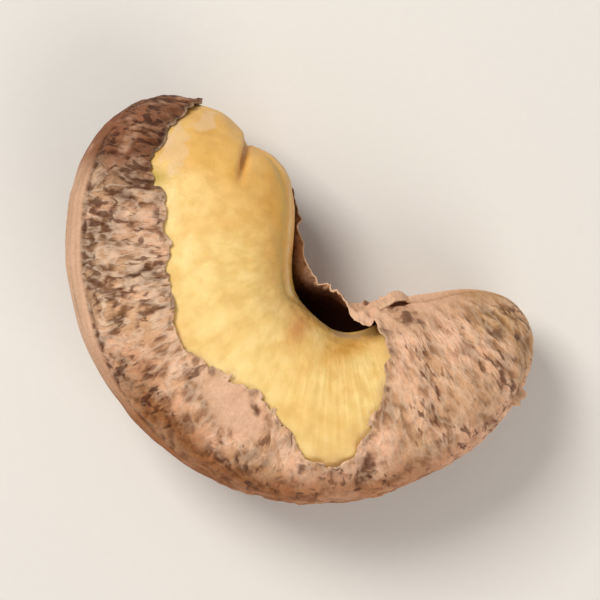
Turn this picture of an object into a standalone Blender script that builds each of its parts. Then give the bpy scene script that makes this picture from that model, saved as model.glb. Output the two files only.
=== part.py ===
"""A roasted cashew kernel in its papery brown skin, which is torn open over the kernel.

Metres, +Z up. The nut lies on its broad side: +X runs along its length towards the slim lobe, +Y points
out of the notch between the two lobes, and the origin is under the middle of its bounding box.
"""
import math

import bmesh
import bpy
import numpy as np
from mathutils import Vector, noise

MM = 0.001

# The kidney-shaped kernel. A station runs along its bent midline, from -1 at the tip of the blunt lobe
# to 1 at the tip of the slim one.
MIDLINE_LENGTH = 36.3 * MM
BEND = math.radians(152.0)
HALF_WIDTH = 5.6 * MM
HALF_WIDTH_TAPER = 1.65 * MM
HALF_WIDTH_SPREAD = 0.6 * MM
HALF_THICKNESS = 5.85 * MM
HALF_THICKNESS_TAPER = 0.35 * MM
PLAN_FULLNESS = 4.6
SIDE_FULLNESS = 3.9
SECTION_FULLNESS = 2.25
LUMP_HEIGHT = 0.3 * MM
LUMP_SIZE = 8.0 * MM

# Both lobes droop, so the nut rests on three low points: the middle of the back and one under each lobe.
DROOP_BLUNT = 0.42 * MM
DROOP_SLIM = 1.93 * MM
LOBE_REST_STATION = 0.62
BELLY_RELIEF = 0.3 * MM
REST_FLAT_DEPTH = 0.12 * MM

# The seam between the kernel's halves runs round its rim. Along the blunt lobe's back it turns upwards.
SEAM_RISE_BLUNT = math.radians(25.0)
SEAM_RISE_SLIM = math.radians(-10.0)
SEAM_GROOVE_DEPTH = 0.25 * MM
SEAM_WIDTH = math.radians(4.0)

# A short cleft at the blunt tip sets off a small inner lobe, the seed's germ, which lies a little deeper.
CLEFT_MOUTH = (-8.4 * MM, 12.9 * MM)
CLEFT_TIP = (-7.2 * MM, 9.6 * MM)
CLEFT_DEPTH = 0.6 * MM
CLEFT_HALF_WIDTH = 0.7 * MM
CLEFT_BOTTOM = -3.0 * MM
GERM_RECESS = 0.5 * MM
GERM_EDGE = 0.6 * MM
GERM_MIDDLE = (-5.7 * MM, 12.1 * MM)
GERM_BULGE = 0.4 * MM
GERM_REACH = 1.9 * MM

# On the notch side the slim lobe's kernel has a waist, where the skin stands off it.
WAIST_DEPTH = 1.1 * MM
WAIST_STATION = 0.42
WAIST_REACH = 0.2
WAIST_FALLOFF = 1.5

# The skin stands off the kernel by a small gap. It stretches across the bottom of the notch as a web,
# and the seam shows through it as a low rib along the back.
SKIN_THICKNESS = 0.3 * MM
SKIN_GAP = 0.3 * MM
WEB_STANDOFF = 1.5 * MM
WEB_STATION = 0.08
WEB_REACH = 0.42
WEB_FALLOFF = 1.5
RIB_HEIGHT = 0.22 * MM

# The groove and the rib fade out towards the tips.
TIP_FADE = 2.0

# The tear's edge in plan, in millimetres from the middle of the midline: down the kernel's broad side,
# round the bare patch, and back across the open notch. It cuts down to about the kernel's middle in the
# notch, and deeper towards the tip of the blunt lobe, which is bare.
TEAR_EDGE_MM = (
    (-12.0, 12.2), (-12.3, 9.7), (-11.6, 7.1), (-10.1, 6.6), (-9.5, 5.2), (-8.2, 4.1), (-7.4, 2.7),
    (-6.0, 1.4), (-4.7, 0.1), (-2.4, -0.2), (0.4, 0.0), (2.9, -0.6), (4.7, -1.2), (6.1, -1.3), (7.1, -0.1),
    (7.3, 1.7), (6.6, 4.2), (5.8, 6.0), (4.7, 6.8), (3.5, 7.1), (3.6, 9.4), (3.0, 12.0), (-3.0, 15.0),
    (-7.0, 18.0), (-12.5, 17.5),
)
TEAR_TOP = 12.0 * MM
TEAR_FLOOR_NOTCH = 0.5 * MM
TEAR_FLOOR_RISE = 0.29
TEAR_FLOOR_TIP = -4.2 * MM
TEAR_FLOOR_TIP_X = -10.0 * MM
TEAR_CUTTER_FINENESS = 3
TEAR_CURVE_STEPS = 3

# Mesh fineness
SEGMENTS_ROUND = 36
RINGS_ALONG = 46
MIDLINE_SAMPLES = 801


def clear_scene():
    """Remove every object, so that the scene holds only the nut."""
    for obj in list(bpy.data.objects):
        bpy.data.objects.remove(obj, do_unlink=True)


def make_collection(name):
    """Add a collection to the scene."""
    collection = bpy.data.collections.new(name)
    bpy.context.scene.collection.children.link(collection)
    return collection


def make_material(name, colour, roughness):
    """Make a Principled material that isn't metallic."""
    material = bpy.data.materials.new(name)
    material.use_nodes = True
    shader = material.node_tree.nodes["Principled BSDF"]
    shader.inputs["Base Color"].default_value = (*colour, 1.0)
    shader.inputs["Roughness"].default_value = roughness
    shader.inputs["Metallic"].default_value = 0.0
    material.diffuse_color = (*colour, 1.0)
    return material


def midline_table():
    """Work out the midline: stations, headings and points, by adding up short steps along the bend."""
    stations = np.linspace(-1.0, 1.0, MIDLINE_SAMPLES)
    headings = BEND / 2 * np.sin(math.pi * stations / 2)
    step = MIDLINE_LENGTH / (MIDLINE_SAMPLES - 1)
    x_steps = (np.cos(headings[1:]) + np.cos(headings[:-1])) / 2 * step
    y_steps = (np.sin(headings[1:]) + np.sin(headings[:-1])) / 2 * step
    x = np.concatenate(([0.0], np.cumsum(x_steps)))
    y = np.concatenate(([0.0], np.cumsum(y_steps)))
    middle = MIDLINE_SAMPLES // 2
    return stations, headings, x - x[middle], y - y[middle]


STATIONS, HEADINGS, MIDLINE_X, MIDLINE_Y = midline_table()


def by_lobe(station, blunt, slim):
    """Pick the value of the lobe that a station is on."""
    return blunt if station < 0 else slim


def tip_rounding(station, fullness):
    """Fall from 1 at the middle to 0 at a tip, blunter with a larger fullness."""
    return math.sqrt(max(0.0, 1.0 - abs(station) ** fullness))


def underside_relief(station):
    """How far the belly is hollowed between the middle of the back and a lobe's rest."""
    along = min(abs(station) / LOBE_REST_STATION, 1.0)
    return BELLY_RELIEF * math.sin(math.pi * along) ** 2


def seam_turn(station, around):
    """How far the seam and its neighbourhood are turned about the midline."""
    rise = by_lobe(station, SEAM_RISE_BLUNT, SEAM_RISE_SLIM) * math.sin(math.pi * min(abs(station), 1.0))
    return rise * (1.0 + math.cos(around)) / 2


def smooth_point(station, around):
    """Point on the nut without its lumps.

    Around is the angle about the midline: 0 at the back, a quarter turn on top, half a turn in the notch.
    """
    heading = float(np.interp(station, STATIONS, HEADINGS))
    angle = around + seam_turn(station, around)
    cosine, sine = math.cos(angle), math.sin(angle)
    radius = (abs(cosine) ** SECTION_FULLNESS + abs(sine) ** SECTION_FULLNESS) ** (-1 / SECTION_FULLNESS)
    width = HALF_WIDTH - HALF_WIDTH_TAPER * station + HALF_WIDTH_SPREAD * station**2
    width *= tip_rounding(station, PLAN_FULLNESS)
    thickness = (HALF_THICKNESS - HALF_THICKNESS_TAPER * station) * tip_rounding(station, SIDE_FULLNESS)
    across = width * radius * cosine
    up = thickness * radius * sine - by_lobe(station, DROOP_BLUNT, DROOP_SLIM) * station**2
    if sine < 0:
        up += underside_relief(station) * sine**2
    return Vector((
        float(np.interp(station, STATIONS, MIDLINE_X)) + math.sin(heading) * across,
        float(np.interp(station, STATIONS, MIDLINE_Y)) - math.cos(heading) * across,
        up,
    ))


def lump(point):
    """Gentle unevenness that the kernel and its skin share."""
    return LUMP_HEIGHT * noise.noise(point / LUMP_SIZE)


def near_seam(around):
    """1 on the seam, falling off quickly to both sides."""
    return math.exp(-((math.sin(around) / math.sin(SEAM_WIDTH)) ** 2))


def germ_relief(point):
    """Depth of the short cleft in the blunt lobe's tip and of the small germ lobe beside it."""
    if point.z < CLEFT_BOTTOM:
        return 0.0
    mouth, tip = Vector(CLEFT_MOUTH), Vector(CLEFT_TIP)
    run = tip - mouth
    part = (point.xy - mouth).dot(run) / run.length_squared
    aside = (point.xy - mouth).dot(Vector((-run.y, run.x)).normalized())
    fade = max(0.0, 1.0 - max(0.0, part) ** 2)
    germ_side = max(0.0, min(1.0, aside / GERM_EDGE))
    bulge = GERM_BULGE * math.exp(-(((point.xy - Vector(GERM_MIDDLE)).length / GERM_REACH) ** 2))
    return fade * (CLEFT_DEPTH * math.exp(-((aside / CLEFT_HALF_WIDTH) ** 2)) + GERM_RECESS * germ_side) - bulge


def waist_relief(station, around):
    """Depth of the waist on the notch side of the slim lobe's kernel."""
    notch_side = max(0.0, -math.cos(around)) ** WAIST_FALLOFF
    return WAIST_DEPTH * notch_side * math.exp(-(((station - WAIST_STATION) / WAIST_REACH) ** 2))


def kernel_offset(station, around, point):
    """How far the kernel's surface stands off the smooth form."""
    groove = SEAM_GROOVE_DEPTH * near_seam(around) * tip_rounding(station, TIP_FADE)
    return lump(point) - groove - germ_relief(point) - waist_relief(station, around)


def skin_offset(station, around, point):
    """How far the skin's outer surface stands off the smooth form."""
    notch_side = max(0.0, -math.cos(around)) ** WEB_FALLOFF
    web = WEB_STANDOFF * notch_side * math.exp(-(((station - WEB_STATION) / WEB_REACH) ** 2))
    back_side = max(0.0, math.cos(around))
    rib = RIB_HEIGHT * near_seam(around) * back_side * tip_rounding(station, TIP_FADE)
    return lump(point) + SKIN_GAP + SKIN_THICKNESS + web + rib


def make_nut_layer(name, offset, collection, material):
    """Bend a sphere into the nut's form and push each point out by its offset."""
    bm = bmesh.new()
    bmesh.ops.create_uvsphere(bm, u_segments=SEGMENTS_ROUND, v_segments=RINGS_ALONG, radius=1.0)
    places = {}
    for vert in bm.verts:
        station = max(-1.0, min(1.0, vert.co.z))
        around = math.atan2(vert.co.y, vert.co.x)
        places[vert] = (station, around)
        vert.co = smooth_point(station, around)
    bmesh.ops.recalc_face_normals(bm, faces=bm.faces)
    bm.normal_update()
    moves = {vert: vert.normal * offset(*place, vert.co) for vert, place in places.items()}
    for vert, move in moves.items():
        vert.co += move
    mesh = bpy.data.meshes.new(name)
    bm.to_mesh(mesh)
    bm.free()
    mesh.shade_smooth()
    mesh.materials.append(material)
    obj = bpy.data.objects.new(name, mesh)
    collection.objects.link(obj)
    return obj


def tear_floor(x):
    """Height that the tear cuts down to, from the blunt lobe's tip to the notch and beyond."""
    part = max(0.0, min(1.0, 1.0 - x / TEAR_FLOOR_TIP_X))
    blend = part * part * (3.0 - 2.0 * part)
    return TEAR_FLOOR_TIP + (TEAR_FLOOR_NOTCH - TEAR_FLOOR_TIP) * blend + TEAR_FLOOR_RISE * max(0.0, x)


def make_tear_cutter(collection):
    """Make the block that opens the skin: the tear's outline in plan, down to its floor."""
    curve = bpy.data.curves.new("tear_outline", "CURVE")
    curve.dimensions = "2D"
    curve.fill_mode = "BOTH"
    curve.resolution_u = TEAR_CURVE_STEPS
    curve.extrude = TEAR_TOP
    spline = curve.splines.new("BEZIER")
    spline.bezier_points.add(len(TEAR_EDGE_MM) - 1)
    for bezier_point, (x, y) in zip(spline.bezier_points, TEAR_EDGE_MM):
        bezier_point.co = (x * MM, y * MM, 0.0)
        bezier_point.handle_left_type = "AUTO"
        bezier_point.handle_right_type = "AUTO"
    spline.use_cyclic_u = True
    outline = bpy.data.objects.new("tear_outline", curve)
    collection.objects.link(outline)
    depsgraph = bpy.context.evaluated_depsgraph_get()
    mesh = bpy.data.meshes.new_from_object(outline.evaluated_get(depsgraph))
    bpy.data.objects.remove(outline, do_unlink=True)

    bm = bmesh.new()
    bm.from_mesh(mesh)
    bmesh.ops.remove_doubles(bm, verts=bm.verts, dist=0.00001)
    underside = [edge for edge in bm.edges if all(vert.co.z < 0 for vert in edge.verts)]
    bmesh.ops.subdivide_edges(bm, edges=underside, cuts=TEAR_CUTTER_FINENESS, use_grid_fill=True)
    for vert in bm.verts:
        vert.co.z = TEAR_TOP if vert.co.z > 0 else tear_floor(vert.co.x)
    bmesh.ops.recalc_face_normals(bm, faces=bm.faces)
    bm.to_mesh(mesh)
    bm.free()
    return add_cutter("tear_cutter", mesh, collection)


def make_floor_cutter(collection):
    """Make the block whose top face is the surface that the nut rests on."""
    size = 2 * MIDLINE_LENGTH
    mesh = bpy.data.meshes.new("floor_cutter")
    bm = bmesh.new()
    bmesh.ops.create_cube(bm, size=size)
    bmesh.ops.translate(bm, verts=bm.verts, vec=(0.0, 0.0, -size / 2))
    bm.to_mesh(mesh)
    bm.free()
    return add_cutter("floor_cutter", mesh, collection)


def add_cutter(name, mesh, collection):
    """Add a cutter object, which is never seen itself."""
    cutter = bpy.data.objects.new(name, mesh)
    cutter.hide_render = True
    cutter.display_type = "WIRE"
    collection.objects.link(cutter)
    return cutter


def cut(obj, cutter):
    """Cut one object by another with a live modifier."""
    modifier = obj.modifiers.new(cutter.name, "BOOLEAN")
    modifier.operation = "DIFFERENCE"
    modifier.solver = "EXACT"
    modifier.object = cutter


def stand_on_origin(layers, followers):
    """Move everything so that the nut stands on the origin, sunk by the depth of its rest flats."""
    points = [vert.co for layer in layers for vert in layer.data.vertices]
    low = Vector(min(point[axis] for point in points) for axis in range(3))
    high = Vector(max(point[axis] for point in points) for axis in range(3))
    place = Vector((-(low.x + high.x) / 2, -(low.y + high.y) / 2, -low.z - REST_FLAT_DEPTH))
    for obj in layers + followers:
        obj.location = place


def main():
    """Build the kernel and its torn skin."""
    clear_scene()
    parts = make_collection("roasted_cashew_nut")
    cutters = make_collection("cutters")
    kernel_flesh = make_material("kernel_flesh", (0.80, 0.52, 0.17), 0.42)
    papery_skin = make_material("papery_skin", (0.46, 0.26, 0.15), 0.75)

    kernel = make_nut_layer("kernel", kernel_offset, parts, kernel_flesh)
    skin = make_nut_layer("skin", skin_offset, parts, papery_skin)
    tear_cutter = make_tear_cutter(cutters)
    stand_on_origin([kernel, skin], [tear_cutter])

    shell = skin.modifiers.new("thickness", "SOLIDIFY")
    shell.thickness = SKIN_THICKNESS
    shell.offset = -1.0
    shell.use_even_offset = True
    cut(skin, tear_cutter)
    cut(skin, make_floor_cutter(cutters))


main()
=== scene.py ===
"""Dresses one roasted cashew kernel in its torn papery skin, and sets it on a pale floor in soft light.

The nut's smooth kidney form is worked out once and shared by the kernel and its skin. Lengths in the form
and its details are millimetres, because that is how a nut is measured; meshes are made in metres. Places on
the form are given as on the grown nut: a station along the bent midline, from -1 at the blunt lobe's tip to
1 at the slim one's, and an angle around it, 0 at the back, a quarter turn on top and half in the notch.
"""

import logging
import math
from dataclasses import dataclass, field
from enum import Enum

import bmesh
import bpy
import numpy as np
from mathutils import Matrix, Vector, noise


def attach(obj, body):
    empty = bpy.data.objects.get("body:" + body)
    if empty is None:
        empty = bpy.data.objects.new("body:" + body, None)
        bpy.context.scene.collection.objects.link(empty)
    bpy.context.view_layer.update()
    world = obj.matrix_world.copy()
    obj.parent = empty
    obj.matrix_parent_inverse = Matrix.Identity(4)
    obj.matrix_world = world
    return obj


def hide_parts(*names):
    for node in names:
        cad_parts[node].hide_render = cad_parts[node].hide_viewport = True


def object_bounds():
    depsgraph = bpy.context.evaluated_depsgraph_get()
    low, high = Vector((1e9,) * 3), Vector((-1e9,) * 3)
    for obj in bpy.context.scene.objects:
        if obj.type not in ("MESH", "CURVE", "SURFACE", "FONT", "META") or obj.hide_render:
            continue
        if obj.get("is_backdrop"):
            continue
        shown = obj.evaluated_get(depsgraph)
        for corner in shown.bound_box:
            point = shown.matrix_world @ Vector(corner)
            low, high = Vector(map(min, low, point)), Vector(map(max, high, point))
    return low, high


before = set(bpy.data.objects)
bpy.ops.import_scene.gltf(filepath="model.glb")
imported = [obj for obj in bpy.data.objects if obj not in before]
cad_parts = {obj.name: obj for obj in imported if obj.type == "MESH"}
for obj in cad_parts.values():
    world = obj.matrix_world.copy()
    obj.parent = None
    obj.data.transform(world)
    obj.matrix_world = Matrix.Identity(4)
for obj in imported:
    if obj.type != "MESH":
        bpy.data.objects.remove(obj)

MM = 0.001

# Sockets whose names aren't unique in a node, by number: those of a Mix, a Map Range and a Math node.
FACTOR, FLOAT_A, FLOAT_B, UNDER, OVER, MIXED = 0, 2, 3, 6, 7, 2
VALUE, LOW, HIGH, TO_LOW, TO_HIGH = 0, 1, 2, 3, 4
FIRST, SECOND, THIRD = 0, 1, 2

# Settings that many nodes share.
COLOURS = {"data_type": "RGBA"}
TINTS = {"data_type": "RGBA", "blend_type": "MULTIPLY"}
SMOOTH = {"interpolation_type": "SMOOTHSTEP"}

log = logging.getLogger("cashew_nut")


class Mask(Enum):
    """Painted surface attributes that the finishes read, each 0 to 1 except the grain."""

    GRAIN = "grain"
    FURROW = "furrow"
    MOTTLE = "mottle"
    ASH = "ash"
    OLIVE = "olive"
    BLUSH = "blush_and_shade"
    SCORCH = "scorch_and_shade"
    TOAST = "toast_and_shade"
    BAND = "band"
    RIM = "rim"
    STRAND = "strand"
    FILM = "film"
    GOLD = "gold"
    GREEN = "green"
    BRUISE = "bruise_and_shade"


def noise_at(points: np.ndarray, size: float | tuple[float, float, float], octaves: int = 1,
             shift: float = 0.0) -> np.ndarray:
    """Read smooth noise at points.

    Args:
        points: Rows of x, y, z in millimetres.
        size: Size of one cell of the noise in millimetres, one value or one for each axis.
        octaves: How many halvings of the cells are added up.
        shift: Moves the pattern, so that two patterns of one size differ.

    Returns:
        One value for each point, about -1 to 1.
    """
    cells = (points / np.asarray(size) + shift).tolist()
    return np.array([noise.fractal(cell, 1.0, 2.0, octaves) for cell in cells])


def ramp(values: np.ndarray, low: float, high: float) -> np.ndarray:
    """Rise smoothly from 0 at low to 1 at high, or fall where low is the larger."""
    part = np.clip((values - low) / (high - low), 0.0, 1.0)
    return part * part * (3.0 - 2.0 * part)


def bell(values: np.ndarray, width: float) -> np.ndarray:
    """Fall from 1 at zero towards 0 beyond the width."""
    return np.exp(-((values / width) ** 2))


@dataclass(frozen=True)
class Spot:
    """A small oval place on the nut, seen from above, in millimetres from the middle of the midline."""

    x: float
    y: float
    length: float
    width: float
    turn_deg: float = 0.0

    def along_across(self, points: np.ndarray) -> tuple[np.ndarray, np.ndarray]:
        """Measure points along and across the spot.

        Args:
            points: Rows of x, y, z in millimetres.

        Returns:
            The distances along and across, from the spot's middle.
        """
        turn = math.radians(self.turn_deg)
        dx, dy = points[:, 0] - self.x, points[:, 1] - self.y
        return dx * math.cos(turn) + dy * math.sin(turn), dy * math.cos(turn) - dx * math.sin(turn)

    def mask(self, points: np.ndarray) -> np.ndarray:
        """Mark the spot on the upper side.

        Args:
            points: Rows of x, y, z in millimetres.

        Returns:
            1 at the spot's middle, fading to nothing past its edge.
        """
        along, across = self.along_across(points)
        oval = np.exp(-((2 * along / self.length) ** 2 + (2 * across / self.width) ** 2))
        return oval * ramp(points[:, 2], -1.0, 0.5)


@dataclass(frozen=True)
class NutForm:
    """The smooth kidney form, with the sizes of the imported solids, in millimetres and radians."""

    midline_length: float = 36.3
    bend: float = math.radians(152.0)
    half_width: float = 5.6
    half_width_taper: float = 1.65
    half_width_spread: float = 0.6
    half_thickness: float = 5.85
    half_thickness_taper: float = 0.35
    plan_fullness: float = 4.6
    side_fullness: float = 3.9
    section_fullness: float = 2.25
    lump_height: float = 0.3
    lump_size: float = 8.0
    droop_blunt: float = 0.42
    droop_slim: float = 1.93
    lobe_rest_station: float = 0.62
    belly_relief: float = 0.3
    seam_rise_blunt: float = math.radians(25.0)
    seam_rise_slim: float = math.radians(-10.0)
    seam_climb_blunt: float = 2.6
    seam_climb_slim: float = 1.7
    midline_samples: int = 801

    def midline(self, station: np.ndarray) -> tuple[np.ndarray, np.ndarray, np.ndarray]:
        """Follow the bent midline.

        Args:
            station: Places along it.

        Returns:
            The x and y of each place, and its heading.
        """
        stations = np.linspace(-1.0, 1.0, self.midline_samples)
        headings = self.bend / 2 * np.sin(math.pi * stations / 2)
        step = self.midline_length / (self.midline_samples - 1)
        tracks = []
        for direction in (np.cos(headings), np.sin(headings)):
            track = np.concatenate(([0.0], np.cumsum((direction[1:] + direction[:-1]) / 2 * step)))
            tracks.append(track - track[self.midline_samples // 2])
        x, y, heading = (np.interp(station, stations, values) for values in (*tracks, headings))
        return x, y, heading

    def section(self, station: np.ndarray, around: np.ndarray) -> tuple[np.ndarray, np.ndarray]:
        """Give the section's point, out from the midline.

        Args:
            station: Places along the midline.
            around: Angles about it.

        Returns:
            The distance across, towards the back, and the distance up.
        """
        rise = np.where(station < 0, self.seam_rise_blunt, self.seam_rise_slim)
        angle = around + rise * np.sin(math.pi * np.abs(station)) * (1.0 + np.cos(around)) / 2
        cosine, sine = np.cos(angle), np.sin(angle)
        power = self.section_fullness
        radius = (np.abs(cosine) ** power + np.abs(sine) ** power) ** (-1.0 / power)
        plan_tip = np.sqrt(np.clip(1.0 - np.abs(station) ** self.plan_fullness, 0.0, None))
        side_tip = np.sqrt(np.clip(1.0 - np.abs(station) ** self.side_fullness, 0.0, None))
        width = self.half_width - self.half_width_taper * station + self.half_width_spread * station**2
        across = width * plan_tip * radius * cosine
        up = (self.half_thickness - self.half_thickness_taper * station) * side_tip * radius * sine
        hollow = np.sin(math.pi * np.clip(np.abs(station) / self.lobe_rest_station, 0.0, 1.0)) ** 2
        up += np.where(sine < 0, self.belly_relief * hollow * sine**2, 0.0)
        return across, up

    def points(self, station: np.ndarray, around: np.ndarray) -> np.ndarray:
        """Give points of the smooth form.

        Args:
            station: Places along the midline.
            around: Angles about it.

        Returns:
            Rows of x, y, z from the middle of the midline.
        """
        x, y, heading = self.midline(station)
        across, up = self.section(station, around)
        droop = np.where(station < 0, self.droop_blunt, self.droop_slim) * station**2
        return np.stack((x + np.sin(heading) * across, y - np.cos(heading) * across, up - droop), axis=1)

    def straightened(self, station: np.ndarray, around: np.ndarray) -> np.ndarray:
        """Give the points of the nut as if it were unbent, for patterns that grew along it."""
        across, up = self.section(station, around)
        return np.stack((station * self.midline_length / 2, across, up), axis=1)

    def above_seam(self, station: np.ndarray, around: np.ndarray) -> np.ndarray:
        """Measure how far places lie above the seam between the kernel's halves.

        Args:
            station: Places along the midline.
            around: Angles about it.

        Returns:
            The distance up from the seam. On the notch side the seam climbs along both lobes.
        """
        climb = self.seam_climb_blunt * ramp(station, 0.15, -0.2)
        climb += self.seam_climb_slim * ramp(station, 0.4, 0.7)
        return np.sin(around) * self.half_thickness - np.where(np.cos(around) < 0, climb, 0.0)

    def lumps(self, points: np.ndarray) -> np.ndarray:
        """Give the gentle unevenness that the kernel and the skin share."""
        cells = (points / self.lump_size).tolist()
        return self.lump_height * np.array([noise.noise(cell) for cell in cells])


@dataclass(frozen=True)
class Tear:
    """The place where the skin is torn open over the kernel, in millimetres."""

    edge: tuple[tuple[float, float], ...] = (
        (-12.0, 12.2), (-12.3, 9.7), (-11.6, 7.1), (-10.1, 6.6), (-9.5, 5.2), (-8.2, 4.1), (-7.4, 2.7),
        (-6.0, 1.4), (-4.7, 0.1), (-2.4, -0.2), (0.4, 0.0), (2.9, -0.6), (4.7, -1.2), (6.1, -1.3),
        (7.1, -0.1), (7.3, 1.7), (6.6, 4.2), (5.8, 6.0), (4.7, 6.8), (3.5, 7.1), (3.6, 9.4), (3.0, 12.0),
        (-3.0, 15.0), (-7.0, 18.0), (-12.5, 17.5),
    )
    curve_steps: int = 5
    floor_notch: float = 0.5
    floor_rise: float = 0.29
    floor_tip: float = -4.2
    floor_tip_x: float = -10.0
    floor_step: float = 1.5
    ragged: float = 0.38
    frayed: float = 0.2
    clean: float = 0.65

    def outline(self) -> np.ndarray:
        """Run a smooth closed curve through the edge's points.

        Returns:
            The curve's points, as rows of x, y.
        """
        knots = np.array(self.edge)
        before, after, beyond = np.roll(knots, 1, 0), np.roll(knots, -1, 0), np.roll(knots, -2, 0)
        steps = []
        for t in np.arange(self.curve_steps) / self.curve_steps:
            steps.append(0.5 * (2 * knots + (after - before) * t
                                + (2 * before - 5 * knots + 4 * after - beyond) * t**2
                                + (3 * knots - before - 3 * after + beyond) * t**3))
        return np.stack(steps, axis=1).reshape(-1, 2)

    def depth_in_plan(self, plan: np.ndarray) -> np.ndarray:
        """Measure how far points lie inside the outline, seen from above.

        Args:
            plan: Rows of x, y.

        Returns:
            The distance to the outline, positive inside it.
        """
        loop = self.outline()
        nearest = np.full(len(plan), np.inf)
        inside = np.zeros(len(plan), dtype=bool)
        for start, end in zip(loop, np.roll(loop, -1, 0)):
            run = end - start
            part = np.clip((plan - start) @ run / (run @ run), 0.0, 1.0)
            nearest = np.minimum(nearest, np.hypot(*(plan - start - part[:, None] * run).T))
            crosses = (start[1] > plan[:, 1]) != (end[1] > plan[:, 1])
            rise = run[1] if run[1] else 1.0
            inside ^= crosses & (plan[:, 0] < start[0] + (plan[:, 1] - start[1]) * run[0] / rise)
        return np.where(inside, nearest, -nearest)

    def floor(self, x: np.ndarray) -> np.ndarray:
        """Give the height that the tear reaches down to.

        Args:
            x: Places along the nut, in millimetres.

        Returns:
            The height at each place.
        """
        blend = ramp(x, self.floor_tip_x, 0.0)
        rise = self.floor_rise * np.maximum(x, 0.0) + self.floor_step * ramp(x, 2.0, 3.4)
        return self.floor_tip + (self.floor_notch - self.floor_tip) * blend + rise

    def bareness(self, points: np.ndarray) -> np.ndarray:
        """Measure how far inside the tear each point of the form is.

        Args:
            points: Rows of x, y, z.

        Returns:
            The distance to the torn edge, positive where the kernel is bare.
        """
        in_plan = self.depth_in_plan(points[:, :2])
        above = (points[:, 2] - self.floor(points[:, 0])) * 0.8
        bare = np.minimum(in_plan, above)
        near = bell(bare, 2.0) * (1.0 - self.clean * ramp(in_plan - above, 0.0, 1.5))
        return bare + near * (self.ragged * noise_at(points, 1.2, 2, 4.1)
                              + self.frayed * noise_at(points, 0.36, 2, 9.7))


def coordinates(mesh: bpy.types.Mesh) -> np.ndarray:
    """Read where a mesh's vertices are.

    Args:
        mesh: The mesh.

    Returns:
        Rows of x, y, z.
    """
    flat = np.empty(len(mesh.vertices) * 3)
    mesh.vertices.foreach_get("co", flat)
    return flat.reshape(-1, 3)


def set_coordinates(mesh: bpy.types.Mesh, points: np.ndarray) -> None:
    """Place a mesh's vertices."""
    mesh.vertices.foreach_set("co", points.ravel())
    mesh.update()


def normals(mesh: bpy.types.Mesh) -> np.ndarray:
    """Read a mesh's vertex normals.

    Args:
        mesh: The mesh.

    Returns:
        Rows of x, y, z.
    """
    flat = np.empty(len(mesh.vertices) * 3)
    mesh.vertex_normals.foreach_get("vector", flat)
    return flat.reshape(-1, 3)


def paint(mesh: bpy.types.Mesh, mask: Mask, values: np.ndarray) -> None:
    """Store a mask, or the grain's vectors, on a mesh's vertices.

    Args:
        mesh: The mesh.
        mask: Which mask.
        values: One value for each vertex, or for the grain a row of x, y, z.
    """
    kind, key = ("FLOAT_VECTOR", "vector") if mask is Mask.GRAIN else ("FLOAT", "value")
    kept = values.ravel() if mask is Mask.GRAIN else np.clip(values, 0.0, 1.0)
    mesh.attributes.new(mask.value, kind, "POINT").data.foreach_set(key, kept)


def give_thickness(piece: bpy.types.Object, thickness: float, group: str = "", least: float = 0.0) -> None:
    """Make a sheet solid, inwards from its outer side.

    Args:
        piece: The sheet, which is the active object.
        thickness: How thick it gets.
        group: The vertex group that it is thinner by, if any.
        least: Share of the thickness where that group weighs nothing.
    """
    solidify = piece.modifiers.new("thickness", "SOLIDIFY")
    solidify.thickness = thickness
    solidify.offset = -1.0
    solidify.vertex_group = group
    solidify.thickness_vertex_group = least
    bpy.ops.object.modifier_apply(modifier=solidify.name)


def volume_centre(mesh: bpy.types.Mesh) -> np.ndarray:
    """Find the centre of a closed mesh's volume.

    Args:
        mesh: The mesh.

    Returns:
        The centre, as x, y, z.
    """
    mesh.calc_loop_triangles()
    corners = np.empty(len(mesh.loop_triangles) * 3, dtype=np.int64)
    mesh.loop_triangles.foreach_get("vertices", corners)
    a, b, c = coordinates(mesh)[corners.reshape(-1, 3).T]
    volumes = np.einsum("ij,ij->i", a, np.cross(b, c))
    return ((a + b + c) / 4 * volumes[:, None]).sum(axis=0) / volumes.sum()


def hex_to_linear(code: str) -> tuple[float, float, float, float]:
    """Turn an sRGB hex colour into the linear colour that a shader takes."""
    channels = [int(code[i:i + 2], 16) / 255 for i in (1, 3, 5)]
    return (*(c / 12.92 if c <= 0.04045 else ((c + 0.055) / 1.055) ** 2.4 for c in channels), 1.0)


def feed(node: bpy.types.Node, sockets: dict) -> None:
    """Feed a node's inputs.

    Args:
        node: The node.
        sockets: By the input's name or number, its value or the output socket that feeds it.
    """
    for key, value in sockets.items():
        if isinstance(value, bpy.types.NodeSocket):
            node.id_data.links.new(value, node.inputs[key])
        else:
            node.inputs[key].default_value = value


def add_node(tree: bpy.types.NodeTree, kind: str, sockets: dict, output: int | str = 0,
             **settings: object) -> bpy.types.NodeSocket:
    """Add a node with its settings and links.

    Args:
        tree: The material's node tree.
        kind: The node's type name, without its ShaderNode.
        sockets: What feeds its inputs.
        output: The output that the pattern goes on from, by name or number.
        settings: Values of the node's own properties.

    Returns:
        That output.
    """
    node = tree.nodes.new(f"ShaderNode{kind}")
    for name, value in settings.items():
        setattr(node, name, value)
    feed(node, sockets)
    return node.outputs[output]


def new_material(name: str) -> tuple[bpy.types.Material, bpy.types.NodeTree]:
    """Start a material.

    Args:
        name: Its name.

    Returns:
        The material and its node tree.
    """
    material = bpy.data.materials.new(name)
    material.use_nodes = True
    return material, material.node_tree


@dataclass(frozen=True)
class Grain:
    """A pattern in a finish. Its cells have a real size in millimetres, along the nut and across it."""

    along: float
    across: float
    detail: float
    distortion: float = 0.0
    roughness: float = 0.5
    shift: tuple[float, float, float] = (0.0, 0.0, 0.0)


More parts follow.
